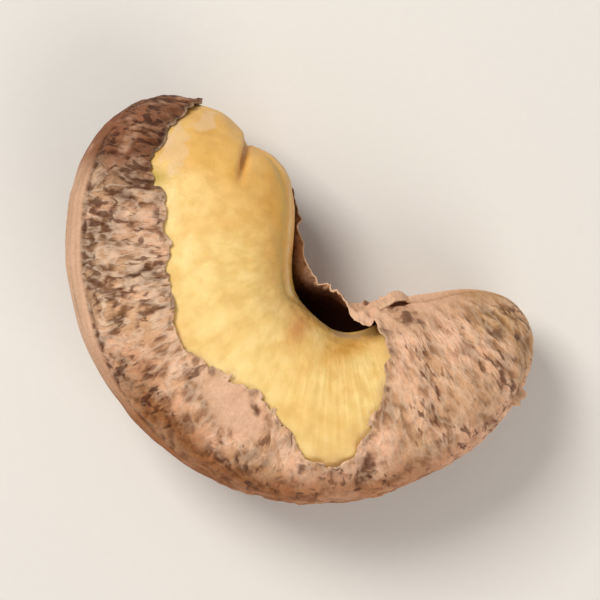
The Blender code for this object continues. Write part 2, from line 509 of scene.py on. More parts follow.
def lay_grains(tree: bpy.types.NodeTree, grains: dict[str, Grain]) -> dict[str, bpy.types.NodeSocket]:
    """Lay patterns along the unbent nut, as they grew.

    Args:
        tree: The material's node tree.
        grains: The patterns by name.

    Returns:
        Each pattern's values by the same name, and as "place" the points that they are laid on.
    """
    place = add_node(tree, "Attribute", {}, "Vector", attribute_name=Mask.GRAIN.value)
    laid = {"place": place}
    for name, grain in grains.items():
        per_mm = (1.0 / grain.along, 1.0 / grain.across, 1.0 / grain.across)
        cells = add_node(tree, "Mapping", {"Vector": place, "Location": grain.shift, "Scale": per_mm})
        laid[name] = add_node(tree, "TexNoise", {
            "Vector": cells, "Scale": 1.0, "Detail": grain.detail, "Roughness": grain.roughness,
            "Distortion": grain.distortion})
    return laid


@dataclass(frozen=True)
class RoastedSkin:
    """Roasted testa, the dry papery coat of the seed: matt, pinkish tan, browned in its furrows and pores,
    with painted shade in the furrows and painted highlights on the crests.
    """

    pink: str = "#dcae90"
    tan: str = "#c59b78"
    ash: str = "#9a7c60"
    olive: str = "#b2864f"
    toast_and_shade: str = "#542a12"
    pore: str = "#5e3218"
    ridge: str = "#f6dcc4"
    band: str = "#e6bc9e"
    torn: str = "#ecd0ad"
    furrow_shade_tint: tuple[float, float, float, float] = (0.36, 0.255, 0.175, 1.0)
    crest_tint: tuple[float, float, float, float] = (1.5, 1.5, 1.5, 1.0)
    blushed_and_shaded: tuple[float, float, float, float] = (0.52, 0.315, 0.155, 1.0)
    scorched_and_shaded: tuple[float, float, float, float] = (0.32, 0.20, 0.14, 1.0)
    dull: tuple[float, float, float, float] = (0.5, 0.5, 0.5, 1.0)

    def material(self) -> bpy.types.Material:
        """Build the finish.

        Returns:
            The new material.
        """
        material, tree = new_material("roasted_testa")
        masks = {mask: add_node(tree, "Attribute", {}, "Fac", attribute_name=mask.value)
                 for mask in (Mask.FURROW, Mask.MOTTLE, Mask.ASH, Mask.OLIVE, Mask.BLUSH, Mask.SCORCH,
                              Mask.TOAST, Mask.BAND, Mask.RIM)}
        laid = lay_grains(tree, {
            "patches": Grain(2.6, 3.2, 3.0),
            "crumples": Grain(0.32, 0.8, 5.0, 0.6, 0.66),
            "folds": Grain(0.55, 1.5, 2.0, 0.25, shift=(1.0, 6.0, 2.0)),
            "flecks": Grain(0.27, 0.85, 2.0, 0.5, shift=(5.0, 3.0, 8.0)),
            "clusters": Grain(1.7, 2.2, 1.0, shift=(2.0, 9.0, 4.0)),
            "fibres": Grain(0.11, 0.2, 2.0),
        })

        # Patches of about 3 mm are pinker or browner, as the skin dried.
        patches = add_node(tree, "MapRange", {VALUE: laid["patches"], LOW: 0.38, HIGH: 0.62}, **SMOOTH)
        colour = add_node(tree, "Mix", {FACTOR: patches, UNDER: hex_to_linear(self.pink),
                                        OVER: hex_to_linear(self.tan)}, MIXED, **COLOURS)
        for mask, code in ((Mask.ASH, self.ash), (Mask.OLIVE, self.olive)):
            colour = add_node(tree, "Mix", {FACTOR: masks[mask], UNDER: colour, OVER: hex_to_linear(code)},
                              MIXED, **COLOURS)

        # Crumples of 0.3 by 0.8 mm run across the nut. Their furrows are browner and darker than their
        # crests, partly pigment and partly painted shade, and the crests paler, partly a painted highlight.
        level = add_node(tree, "Mix", {FACTOR: 0.5, FLOAT_A: masks[Mask.FURROW], FLOAT_B: laid["crumples"]})
        height = add_node(tree, "MapRange", {VALUE: level, LOW: 0.34, HIGH: 0.64}, **SMOOTH)
        tint = add_node(tree, "Mix", {FACTOR: height, UNDER: self.furrow_shade_tint, OVER: self.crest_tint},
                        MIXED, **COLOURS)
        depth = add_node(tree, "MapRange", {VALUE: masks[Mask.MOTTLE], TO_LOW: 0.12, TO_HIGH: 0.95})
        colour = add_node(tree, "Mix", {FACTOR: depth, UNDER: colour, OVER: tint}, MIXED, **TINTS)

        # Pale ridges 0.2 mm wide run across the nut between the crumples, about 0.7 mm apart, partly their
        # own colour and partly a painted highlight.
        folds = add_node(tree, "Math", {FIRST: laid["folds"], SECOND: 0.5}, operation="SUBTRACT")
        folds = add_node(tree, "Math", {FIRST: folds}, operation="ABSOLUTE")
        folds = add_node(tree, "MapRange", {VALUE: folds, LOW: 0.11, HIGH: 0.0}, **SMOOTH)
        ridged = add_node(tree, "Math", {FIRST: folds, SECOND: depth}, operation="MULTIPLY")
        ridged = add_node(tree, "Math", {FIRST: ridged, SECOND: 0.5}, operation="MULTIPLY")
        colour = add_node(tree, "Mix", {FACTOR: ridged, UNDER: colour, OVER: hex_to_linear(self.ridge)},
                          MIXED, **COLOURS)

        # Clusters of dark brown strokes, each about 0.25 by 0.8 mm, closer together where it is mottled.
        crowded = add_node(tree, "Math", {FIRST: laid["clusters"], SECOND: 0.55, THIRD: laid["flecks"]},
                           operation="MULTIPLY_ADD")
        crowded = add_node(tree, "Math", {FIRST: masks[Mask.MOTTLE], SECOND: -0.155, THIRD: crowded},
                           operation="MULTIPLY_ADD")
        flecks = add_node(tree, "MapRange", {VALUE: crowded, LOW: 0.61, HIGH: 0.45, TO_HIGH: 0.8},
                          **SMOOTH)
        shown = add_node(tree, "MapRange", {VALUE: masks[Mask.MOTTLE], LOW: 0.05, HIGH: 0.6})
        browned = add_node(tree, "Math", {FIRST: flecks, SECOND: shown}, operation="MULTIPLY")

        # Round pores of 0.25 mm, one to about 1.5 square millimetres, in two of five of the cells.
        pores = add_node(tree, "TexVoronoi", {"Vector": laid["place"], "Scale": 0.85}, "Distance")
        dots = add_node(tree, "MapRange", {VALUE: pores, LOW: 0.2, HIGH: 0.1, TO_HIGH: 0.75}, **SMOOTH)
        chosen = add_node(tree, "MapRange", {VALUE: pores.node.outputs["Color"], LOW: 0.58, HIGH: 0.62})
        dots = add_node(tree, "Math", {FIRST: dots, SECOND: chosen}, operation="MULTIPLY")
        for marks in (browned, dots):
            colour = add_node(tree, "Mix", {FACTOR: marks, UNDER: colour, OVER: hex_to_linear(self.pore)},
                              MIXED, **COLOURS)

        # The pale band over the seam; the places that caught the heat, which also carry painted shade low
        # down, at the blunt tip and inside the notch; and the thin torn edge, with a painted highlight on the
        # flap's loose edge.
        banded = add_node(tree, "Math", {FIRST: masks[Mask.BAND], SECOND: 0.85}, operation="MULTIPLY")
        for part, over, settings in ((banded, hex_to_linear(self.band), COLOURS),
                                     (masks[Mask.BLUSH], self.blushed_and_shaded, TINTS),
                                     (masks[Mask.TOAST], hex_to_linear(self.toast_and_shade), COLOURS),
                                     (masks[Mask.SCORCH], self.scorched_and_shaded, TINTS),
                                     (masks[Mask.RIM], hex_to_linear(self.torn), COLOURS)):
            colour = add_node(tree, "Mix", {FACTOR: part, UNDER: colour, OVER: over}, MIXED, **settings)

        # Paper fibres of 0.1 mm, the finest thing that shows.
        speckle = add_node(tree, "Mix", {FACTOR: laid["fibres"], UNDER: self.dull, OVER: self.crest_tint},
                           MIXED, **COLOURS)
        colour = add_node(tree, "Mix", {FACTOR: 0.35, UNDER: colour, OVER: speckle}, MIXED, **TINTS)

        relief = add_node(tree, "Bump", {"Height": laid["crumples"], "Distance": 0.2 * MM,
                                         "Strength": depth})
        relief = add_node(tree, "Bump", {"Height": folds, "Distance": 0.05 * MM, "Strength": depth,
                                         "Normal": relief})
        relief = add_node(tree, "Bump", {"Height": laid["fibres"], "Distance": 0.02 * MM,
                                         "Normal": relief})
        roughness = add_node(tree, "MapRange", {VALUE: height, TO_LOW: 0.85, TO_HIGH: 0.62})
        feed(tree.nodes["Principled BSDF"], {"Base Color": colour, "Normal": relief,
                                             "Roughness": roughness, "Specular IOR Level": 0.22})
        return material


@dataclass(frozen=True)
class RoastedKernel:
    """Dry-roasted cashew flesh: dense, oily and a little waxy, so light goes in and it has a satin gloss."""

    cream: str = "#f4d084"
    pale: str = "#fbdd96"
    gold: str = "#e2ac52"
    film: str = "#e8c79b"
    green: str = "#c4a646"
    bruise_and_shade: str = "#d48a3c"
    lip: str = "#fbe6ba"
    dapple: tuple[float, float, float, float] = (0.88, 0.82, 0.68, 1.0)
    strand: tuple[float, float, float, float] = (0.90, 0.84, 0.70, 1.0)
    lit: tuple[float, float, float, float] = (1.04, 1.05, 1.08, 1.0)

    def material(self) -> bpy.types.Material:
        """Build the finish.

        Returns:
            The new material.
        """
        material, tree = new_material("roasted_cashew_flesh")
        masks = {mask: add_node(tree, "Attribute", {}, "Fac", attribute_name=mask.value)
                 for mask in (Mask.GOLD, Mask.STRAND, Mask.GREEN, Mask.FILM, Mask.BRUISE, Mask.RIM)}
        laid = lay_grains(tree, {
            "clouds": Grain(2.2, 3.0, 2.0, 0.3),
            "dapples": Grain(0.8, 1.0, 3.0, 0.1, shift=(4.0, 1.0, 6.0)),
            "strands": Grain(0.25, 4.0, 2.0, 0.15, shift=(7.0, 7.0, 7.0)),
            "pits": Grain(0.14, 0.17, 2.0),
        })

        # Clouds of 2 to 3 mm, paler or creamier, and a golden tone where the flesh roasted more, less of it
        # on the inner lobe, which is painted lighter against the shade it lies in.
        clouds = add_node(tree, "MapRange", {VALUE: laid["clouds"], LOW: 0.36, HIGH: 0.64}, **SMOOTH)
        colour = add_node(tree, "Mix", {FACTOR: clouds, UNDER: hex_to_linear(self.cream),
                                        OVER: hex_to_linear(self.pale)}, MIXED, **COLOURS)
        colour = add_node(tree, "Mix", {FACTOR: masks[Mask.GOLD], UNDER: colour,
                                        OVER: hex_to_linear(self.gold)}, MIXED, **COLOURS)

        # Soft dapples of 0.8 to 1 mm show where oil came out as it roasted. Strands 0.25 mm apart run across
        # the lobe, where the flesh shows its growth.
        for share, name, low, high, dark in ((0.55, "dapples", 0.32, 0.62, self.dapple),
                                             (masks[Mask.STRAND], "strands", 0.3, 0.7, self.strand)):
            pattern = add_node(tree, "MapRange", {VALUE: laid[name], LOW: low, HIGH: high}, **SMOOTH)
            tint = add_node(tree, "Mix", {FACTOR: pattern, UNDER: dark, OVER: self.lit}, MIXED, **COLOURS)
            colour = add_node(tree, "Mix", {FACTOR: share, UNDER: colour, OVER: tint}, MIXED, **TINTS)

        # The greenish flesh beside the seam, what the skin left behind, a scorched place and painted shade
        # down the cleft, and the pale lip.
        for mask, code in ((Mask.GREEN, self.green), (Mask.FILM, self.film), (Mask.BRUISE, self.bruise_and_shade),
                           (Mask.RIM, self.lip)):
            colour = add_node(tree, "Mix", {FACTOR: masks[mask], UNDER: colour, OVER: hex_to_linear(code)},
                              MIXED, **COLOURS)

        # Fine pits of 0.15 mm dull the gloss.
        relief = add_node(tree, "Bump", {"Height": laid["dapples"], "Distance": 0.07 * MM})
        relief = add_node(tree, "Bump", {"Height": laid["strands"], "Distance": 0.05 * MM,
                                         "Strength": masks[Mask.STRAND], "Normal": relief})
        relief = add_node(tree, "Bump", {"Height": laid["pits"], "Distance": 0.016 * MM, "Normal": relief})
        roughness = add_node(tree, "MapRange", {VALUE: laid["dapples"], LOW: 0.3, HIGH: 0.7, TO_LOW: 0.36,
                                                TO_HIGH: 0.56})
        feed(tree.nodes["Principled BSDF"], {
            "Base Color": colour, "Normal": relief, "Roughness": roughness, "IOR": 1.47,
            "Subsurface Weight": 0.2, "Subsurface Scale": 1.0 * MM,
            "Subsurface Radius": (1.0, 0.55, 0.2)})
        return material


@dataclass(frozen=True)
class PaleFloor:
    """Matt off-white card, which takes a soft shadow and gives no shine."""

    card: str = "#e8e7e5"
    hollow: tuple[float, float, float, float] = (0.97, 0.97, 0.97, 1.0)
    tooth_size: float = 0.6 * MM

    def material(self) -> bpy.types.Material:
        """Build the finish.

        Returns:
            The new material.
        """
        material, tree = new_material("matt_card")
        place = add_node(tree, "TexCoord", {}, "Object")
        tooth = add_node(tree, "TexNoise", {"Vector": place, "Scale": 1.0 / self.tooth_size, "Detail": 2.0})
        tone = add_node(tree, "Mix", {FACTOR: tooth, UNDER: self.hollow, OVER: (1.0, 1.0, 1.0, 1.0)},
                        MIXED, **COLOURS)
        colour = add_node(tree, "Mix", {FACTOR: 1.0, UNDER: hex_to_linear(self.card), OVER: tone},
                          MIXED, **TINTS)
        feed(tree.nodes["Principled BSDF"], {"Base Color": colour, "Roughness": 0.9})
        return material


@dataclass
class NutLayer:
    """A closed layer of the nut, shaped from a sphere whose poles become the tips of the lobes."""

    form: NutForm
    tear: Tear
    segments: int
    rings: int
    middle_density: float = 0.17
    top_density: float = 0.22

    def add_sphere(self, name: str) -> bpy.types.Object:
        """Add the sphere that is bent into the layer.

        Args:
            name: The piece's name.

        Returns:
            The new object, alone in the selection.
        """
        bpy.ops.object.select_all(action="DESELECT")
        bpy.ops.mesh.primitive_uv_sphere_add(segments=self.segments, ring_count=self.rings, radius=1.0,
                                             calc_uvs=False)
        piece = bpy.context.active_object
        piece.name = piece.data.name = name
        return piece

    def domain(self, mesh: bpy.types.Mesh) -> tuple[np.ndarray, np.ndarray]:
        """Read where each vertex of the sphere lies on the nut.

        Args:
            mesh: The sphere's mesh, before it is bent.

        Returns:
            The station and the angle around, closer together at mid-length and on top.
        """
        points = coordinates(mesh)
        points /= np.linalg.norm(points, axis=1)[:, None]
        latitude = np.arcsin(np.clip(points[:, 2], -1.0, 1.0))
        longitude = np.arctan2(points[:, 1], points[:, 0])
        station = np.sin(latitude - self.middle_density * np.sin(2 * latitude))
        return station, longitude + self.top_density * np.cos(longitude)


@dataclass
class Kernel(NutLayer):
    """The kernel: one grown piece with a groove where its halves meet and a small inner lobe at its tip."""

    segments: int = 290
    rings: int = 290
    stand_off: float = 0.2
    groove_depth: float = 0.15
    groove_half_width: float = 0.3
    cleft_mouth: tuple[float, float] = (-8.4, 12.9)
    cleft_tip: tuple[float, float] = (-7.2, 9.6)
    cleft_depth: float = 0.8
    cleft_half_width: float = 0.3
    cleft_bottom: float = -3.0
    germ_recess: float = 0.5
    bruises: tuple[Spot, ...] = (Spot(0.5, 4.3, 2.0, 1.1, 90.0),)
    golden: Spot = Spot(3.4, 4.9, 3.4, 1.3, 60.0)
    films: tuple[Spot, ...] = (Spot(-11.5, 9.2, 4.2, 1.7, 120.0), Spot(-10.9, 11.5, 1.6, 1.2, 100.0),
                               Spot(3.1, 6.2, 2.2, 0.9, 45.0))
    strands: tuple[Spot, ...] = (Spot(5.0, 2.2, 6.5, 5.0, 60.0),)
    germ_middle: tuple[float, float] = (-5.7, 12.1)
    germ_bulge: float = 0.4
    germ_reach: float = 1.9
    tip_corner: tuple[float, float] = (-8.6, 13.7)
    tip_dip: float = 0.6
    tip_reach: float = 1.4
    waist_depth: float = 0.85
    waist_station: float = 0.42
    waist_reach: float = 0.2
    waist_falloff: float = 1.5
    tail: Spot = Spot(-11.3, 7.2, 1.6, 1.0, 30.0)
    blunt_end: tuple[float, float] = (-0.97, -0.88)
    broad_swell: float = 0.07
    fine_swell: float = 0.04
    strand_swell: float = 0.014
    strand_cells: tuple[float, float, float] = (0.32, 4.0, 4.0)

    def cleft(self, points: np.ndarray) -> tuple[np.ndarray, np.ndarray]:
        """Measure points against the short cleft beside the inner lobe.

        Args:
            points: Rows of x, y, z.

        Returns:
            How far along the cleft each point is, 0 at its mouth and 1 at its tip, and how far to the side
            of it, positive towards the inner lobe.
        """
        mouth, tip = np.array(self.cleft_mouth), np.array(self.cleft_tip)
        run = tip - mouth
        side = np.array((-run[1], run[0])) / np.linalg.norm(run)
        offset = points[:, :2] - mouth
        return offset @ run / (run @ run), offset @ side

    def build(self) -> bpy.types.Object:
        """Shape the kernel, still about the middle of the midline.

        Returns:
            The new piece, with its masks painted.
        """
        piece = self.add_sphere("kernel_flesh")
        station, around = self.domain(piece.data)
        points = self.form.points(station, around)
        grain = self.form.straightened(station, around)
        set_coordinates(piece.data, points)
        piece.data.flip_normals()

        fade = np.sqrt(np.clip(1.0 - station**2, 0.0, None))
        above = self.form.above_seam(station, around)
        groove = self.groove_depth * bell(above, self.groove_half_width) * (0.35 + 0.65 * fade)
        along, aside = self.cleft(points)
        upper = ramp(points[:, 2], self.cleft_bottom, self.cleft_bottom + 1.0)
        cleft = self.cleft_depth * ramp(along, 1.25, 0.5) * upper * bell(aside, self.cleft_half_width)
        germ = ramp(along, 1.3, 0.2) * upper * ramp(aside, 0.0, 0.6) * ramp(aside, 5.0, 3.0)
        swell = self.broad_swell * noise_at(points, 2.4, 2, 1.7)
        swell += self.fine_swell * noise_at(points, 0.9, 2, 6.3)
        stranded = np.clip(sum(spot.mask(points) for spot in self.strands) * 1.5, 0.0, 1.0)
        swell += self.strand_swell * noise_at(grain, self.strand_cells, 1, 7.0) * stranded
        from_germ = np.hypot(*(points[:, :2] - self.germ_middle).T)
        swell += self.germ_bulge * upper * bell(from_germ, self.germ_reach)
        from_corner = np.hypot(*(points[:, :2] - self.tip_corner).T)
        swell -= self.tip_dip * upper * bell(from_corner, self.tip_reach)
        waist = self.waist_depth * np.maximum(-np.cos(around), 0.0) ** self.waist_falloff
        swell -= waist * bell(station - self.waist_station, self.waist_reach)
        rise = self.form.lumps(points) + self.stand_off + swell - groove - cleft - self.germ_recess * germ
        set_coordinates(piece.data, points + normals(piece.data) * rise[:, None])

        bare = self.tear.bareness(points)
        notch_side = np.cos(around) < 0
        paint(piece.data, Mask.GRAIN, grain)
        upper_lobe = ramp(points[:, 1], 4.0, 11.0) * (points[:, 0] < 0)
        flank = ramp(np.cos(around), -0.5, -0.9)
        # Less gold on the inner lobe: painted light, lifting it out of its shade.
        gold = 0.8 * upper_lobe + 0.55 * flank - 0.3 * germ + 0.5 * self.golden.mask(points)
        paint(piece.data, Mask.GOLD, gold + 0.22 * noise_at(points, 1.9, 2, 12.0))
        left_behind = sum(spot.mask(points) for spot in self.films)
        film = ramp(left_behind + 0.5 * noise_at(points, 0.7, 3, 2.2), 0.4, 0.7)
        film += 0.6 * bell(np.maximum(bare, 0.0), 0.35) * ramp(noise_at(points, 1.5, 2, 2.2), -0.1, 0.4)
        paint(piece.data, Mask.FILM, 0.6 * film)
        bruise_and_shade = sum(spot.mask(points) for spot in self.bruises)
        # Orange on the scorched spot, and painted shade down the cleft beside the inner lobe.
        paint(piece.data, Mask.BRUISE, 0.75 * bruise_and_shade + 0.45 * cleft / self.cleft_depth)
        short_of_tip = ramp(station, *self.blunt_end)
        on_blunt = ramp(station, 0.1, -0.15) * short_of_tip * notch_side
        paint(piece.data, Mask.GREEN, 0.55 * bell(above - 0.45, 0.45) * on_blunt + self.tail.mask(points))
        along_slot = ramp(station, 0.62, 0.5) * short_of_tip * notch_side
        lip = bell(above + 0.5, 0.24) * on_blunt
        lip += bell(above - 1.2, 0.3) * ramp(station, 0.0, 0.2) * along_slot
        paint(piece.data, Mask.RIM, 0.38 * lip * (0.8 + noise_at(points, 1.1, 2, 31.0)))
        paint(piece.data, Mask.STRAND, 0.7 * stranded)
        return piece


@dataclass
class Skin(NutLayer):
    """The papery skin: one thin torn piece, wrinkled, with a rib along the seam and a web over the notch."""

    segments: int = 232
    rings: int = 250
    stand_off: float = 0.54
    thickness: float = 0.2
    torn_thickness: float = 0.35
    thickness_levels: int = 10
    torn_dip: float = 0.2
    curl: float = 0.32
    web_stand_off: float = 1.2
    web_flare: float = 0.6
    web_station: float = 0.13
    web_reach: float = 0.38
    web_falloff: float = 1.5
    rib_height: float = 0.14
    rib_half_width: float = 1.35
    rib_middle: float = -0.15
    band_lines: float = 0.5
    band_line_height: float = 0.03
    dent_depth: float = 0.12
    # Strengths of the painted shade on the inner side across the notch.
    painted_shade_in_toast: float = 0.92
    painted_shade_in_scorch: float = 0.55
    wrinkle_height: float = 0.11
    toasted: tuple[Spot, ...] = (
        Spot(6.1, 8.2, 1.5, 0.9, 30.0), Spot(4.1, 7.1, 1.0, 0.45, 0.0), Spot(8.2, 0.3, 0.9, 1.5, 20.0),
        Spot(5.2, -2.1, 0.8, 0.6, 60.0),
        Spot(1.2, -0.9, 0.55, 1.2, 50.0), Spot(10.6, 10.6, 0.6, 0.9, 80.0), Spot(12.8, 8.6, 0.6, 0.5),
        Spot(11.6, 11.0, 0.5, 0.8, 80.0),
        Spot(-13.1, 2.5, 1.2, 0.5, 40.0), Spot(-14.0, 4.6, 1.3, 0.6, 30.0), Spot(-12.2, 5.2, 1.4, 0.6, 10.0),
    )
    crack: Spot = Spot(-8.9, 2.0, 2.6, 0.22, 33.6)
    crack_sway: float = 0.2
    crack_sway_rate: float = 3.4
    crack_lips: float = 0.14
    crack_depth: float = 0.2
    scrape: Spot = Spot(-0.2, -1.3, 5.6, 2.6, 165.0)
    crumb: Spot = Spot(4.6, 7.5, 3.0, 2.2, 60.0)
    crumb_height: float = 0.4

    def trim(self, piece: bpy.types.Object) -> None:
        """Cut the sphere along the torn edge and delete the bare side.

        Args:
            piece: The sphere, before it is bent.
        """
        mesh = piece.data
        bare = self.tear.bareness(self.form.points(*self.domain(mesh)))
        bm = bmesh.new()
        bm.from_mesh(mesh)
        side = bm.verts.layers.float.new("side")
        for vert, value in zip(bm.verts, bare):
            vert[side] = value
        crossing = {}
        for edge in bm.edges:
            start, end = (vert[side] for vert in edge.verts)
            if (start > 0) != (end > 0):
                crossing[edge] = min(0.95, max(0.05, start / (start - end)))
        cut = bmesh.ops.subdivide_edges(bm, edges=list(crossing), cuts=1, edge_percents=crossing)
        for element in cut["geom_inner"]:
            if isinstance(element, bmesh.types.BMVert):
                element[side] = 0.0
        bmesh.ops.delete(bm, geom=[vert for vert in bm.verts if vert[side] > 0], context="VERTS")
        bm.verts.layers.float.remove(side)
        bm.to_mesh(mesh)
        bm.free()

    def crumpled(self, grain: np.ndarray) -> np.ndarray:
        """Give the height of the small crumples, which run across the nut.

        Args:
            grain: The points of the unbent nut.

        Returns:
            The height, about -1 in a furrow to 1 on a ridge.
        """
        bent = grain + 0.5 * noise_at(grain, 1.5, 2, 3.0)[:, None] * np.array((1.0, 0.4, 0.4))
        ridges = 0.62 - 2.7 * np.abs(noise_at(bent, (0.75, 1.9, 1.9), 1, 3.3))
        fine = noise_at(bent, (0.34, 0.75, 0.75), 2, 8.1)
        return 0.75 * ridges + 0.7 * fine

    def calm(self, station: np.ndarray, around: np.ndarray, points: np.ndarray) -> np.ndarray:
        """Give how free of crumples the skin is.

        Args:
            station: Places along the midline.
            around: Angles about it.
            points: The smooth form's points.

        Returns:
            1 on the band and the lip, less on the scrape and in the notch.
        """
        above = self.form.above_seam(station, around)
        band = self.banded(station, around)
        lip = bell(above, 0.35) * (np.cos(around) < 0) * ramp(station, 0.4, 0.6)
        scrape = ramp(self.scrape.mask(points), 0.35, 0.65)
        notch = 0.75 * ramp(np.cos(around), -0.45, -0.85)
        return np.clip(0.9 * band + lip + 0.6 * scrape + notch, 0.0, 1.0)

    def banded(self, station: np.ndarray, around: np.ndarray) -> np.ndarray:
        """Give where the pale smooth band over the seam is, along the blunt lobe's back.

        Args:
            station: Places along the midline.
            around: Angles about it.

        Returns:
            1 on the band, 0 off it.
        """
        above = self.form.above_seam(station, around)
        across = ramp(np.abs(above - self.rib_middle), self.rib_half_width + 0.15, self.rib_half_width - 0.1)
        return across * (np.cos(around) > 0) * ramp(station, 0.18, -0.12) * ramp(station, -0.93, -0.78)

    def flared(self, station: np.ndarray, around: np.ndarray, covered: np.ndarray) -> np.ndarray:
        """Give where the torn edge across the notch flares outwards.

        Args:
            station: Places along the midline.
            around: Angles about it.
            covered: Distance from the torn edge, into the skin.

        Returns:
            1 at that edge, fading to 0 away from it.
        """
        in_notch = ramp(np.cos(around), -0.6, -0.9) * ramp(station, -0.62, -0.5) * ramp(station, 0.7, 0.55)
        return bell(covered, 0.6) * in_notch

    def cracked(self, points: np.ndarray) -> tuple[np.ndarray, np.ndarray]:
        """Measure points against the short wavy crack across the blunt lobe.

        Args:
            points: The smooth form's points.

        Returns:
            The distance across its line, and how much of it is there, from 0 to 1.
        """
        along, across = self.crack.along_across(points)
        arc = across - self.crack_sway * np.sin(along * self.crack_sway_rate)
        return arc, bell(along, 0.5 * self.crack.length) * (points[:, 2] > 0)

    def outer_rise(self, station: np.ndarray, around: np.ndarray, points: np.ndarray,
                   covered: np.ndarray) -> np.ndarray:
        """Work out how far the skin's outer side stands off the smooth form.

        Args:
            station: Places along the midline.
            around: Angles about it.
            points: The smooth form's points.
            covered: Distance from the torn edge, into the skin.

        Returns:
            The rise in millimetres.
        """
        grain = self.form.straightened(station, around)
        fade = np.sqrt(np.clip(1.0 - station**2, 0.0, None))
        above = self.form.above_seam(station, around)
        on_back = np.cos(around) > 0
        web = self.web_stand_off * np.maximum(-np.cos(around), 0.0) ** self.web_falloff
        web *= bell(station - self.web_station, self.web_reach)
        from_band = above - self.rib_middle
        rib = self.rib_height * ramp(np.abs(from_band), self.rib_half_width + 0.2, 0.5)
        rib -= 0.1 * bell(from_band - self.rib_half_width - 0.2, 0.2)
        rib += self.band_line_height * np.cos(2 * math.pi * above / self.band_lines) * bell(from_band, 0.8)
        lip = 0.3 * bell(above - 0.1, 0.3) - 0.2 * bell(above - 0.75, 0.25)
        rib = np.where(on_back, rib, lip * ramp(station, 0.4, 0.6)) * fade
        wrinkles = self.wrinkle_height * self.crumpled(grain) * (1.0 - self.calm(station, around, points))
        dents = self.dent_depth * noise_at(points, 2.8, 2, 5.5)
        curled = np.clip(0.25 + noise_at(points, 1.0, 2, 7.7), 0.0, 1.0)
        edge = self.curl * curled * bell(covered, 0.35) - self.torn_dip * bell(covered, 0.8)
        uneven = self.web_flare + 0.3 * noise_at(points, 1.0, 2, 33.0)
        edge += self.flared(station, around, covered) * uneven
        crumb = self.crumb_height * self.crumb.mask(points) * ramp(covered, 8.0, 5.0)
        edge += crumb * (0.5 + 1.6 * noise_at(points, 0.7, 2, 52.0))
        arc, reach = self.cracked(points)
        crack = self.crack_lips * bell(np.abs(arc) - 0.3, 0.16) * reach
        crack -= self.crack_depth * bell(arc, 0.13) * reach
        return self.stand_off + self.form.lumps(points) + web + rib + wrinkles + dents + edge + crack

    def build(self) -> bpy.types.Object:
        """Shape the skin, still about the middle of the midline.

        Returns:
            The new piece, with its masks painted and its thickness applied.
        """
        piece = self.add_sphere("papery_skin")
        self.trim(piece)
        mesh = piece.data
        station, around = self.domain(mesh)
        points = self.form.points(station, around)
        covered = np.maximum(-self.tear.bareness(points), 0.0)
        set_coordinates(mesh, points)
        mesh.flip_normals()
        rise = self.outer_rise(station, around, points, covered)
        set_coordinates(mesh, points + normals(mesh) * rise[:, None])
        self.paint_masks(mesh, station, around, points, covered)
        self.thicken(piece, covered)
        self.paint_shade_inside(mesh, station, around, covered)
        return piece

    def paint_masks(self, mesh: bpy.types.Mesh, station: np.ndarray, around: np.ndarray, points: np.ndarray,
                    covered: np.ndarray) -> None:
        """Paint where the skin is furrowed, browned, banded or torn.

        Args:
            mesh: The skin, still a sheet.
            station: Places of its vertices along the midline.
            around: Their angles about it.
            points: The smooth form's points there.
            covered: Their distance from the torn edge.
        """
        above = self.form.above_seam(station, around)
        grain = self.form.straightened(station, around)
        on_back = np.cos(around) > 0
        broad = noise_at(points, 3.2, 2, 15.0)
        calm = self.calm(station, around, points)
        paint(mesh, Mask.GRAIN, grain)
        # The crumples' height, from which the finish paints browner furrows with painted shade and paler
        # crests with a painted highlight.
        paint(mesh, Mask.FURROW, 0.5 + 0.42 * self.crumpled(grain) * (1.0 - 0.6 * calm))
        smooth = 0.45 * self.scrape.mask(points)
        mottle = 0.6 + 0.42 * ramp(station, 0.05, -0.4) + 0.3 * broad - smooth
        paint(mesh, Mask.MOTTLE, mottle * (1.0 - calm))
        lip = bell(above - 0.1, 0.3) * ~on_back * ramp(station, 0.4, 0.6)
        lined = 0.75 + 0.2 * np.cos(2 * math.pi * above / self.band_lines)
        lined += 0.5 * noise_at(grain, (2.5, 0.5, 0.5), 2, 9.0)
        scraped = 0.6 * ramp(self.scrape.mask(points) + 0.25 * noise_at(points, 0.6, 2, 4.0), 0.4, 0.6)
        flared = self.flared(station, around, covered)
        crumb = 0.8 * self.crumb.mask(points)
        paint(mesh, Mask.BAND, self.banded(station, around) * lined + 0.8 * lip + scraped + flared + crumb)
        # Orange-brown low on the back, partly its own colour and partly painted shade on the lower edge; and
        # painted shade, darker towards the underside.
        tilt = (around + math.pi) % (2 * math.pi) - math.pi
        low_back = ramp(tilt + 0.25 * broad, 1.15, 0.6) * ramp(tilt, -2.2, -1.2)
        blush_and_shade = low_back * ramp(station, -0.38, -0.1) * ramp(station, 0.85, 0.35) * (1.0 + 0.5 * broad)
        paint(mesh, Mask.BLUSH, blush_and_shade + 0.3 * ramp(points[:, 2], -1.0, -4.0))
        paint(mesh, Mask.ASH, 0.75 * ramp(station, -0.05, -0.45) * np.clip(0.65 + 0.9 * broad, 0.0, 1.0))
        torn = 0.4 * bell(covered, 0.5) * np.clip(broad + 0.3, 0.0, 1.0)
        paint(mesh, Mask.OLIVE, 0.6 * ramp(station, 0.74, 0.96) + torn)
        # Darker towards the blunt lobe's tip: partly its roasted colour, partly painted shade.
        uneven = np.clip(1.05 + 0.9 * noise_at(points, 1.2, 3, 18.0), 0.6, 1.0)
        paint(mesh, Mask.SCORCH, (ramp(station, -0.66, -0.8) + 0.2 * ramp(station, -0.45, -0.6)) * uneven)
        paint(mesh, Mask.TOAST, np.clip(self.toast_and_shade(station, around, points, covered), 0.0, 0.92))
        frayed = np.clip(0.6 + noise_at(points, 0.8, 2, 3.9), 0.0, 1.0)
        paint(mesh, Mask.RIM, 0.5 * bell(covered, 0.12) * frayed)

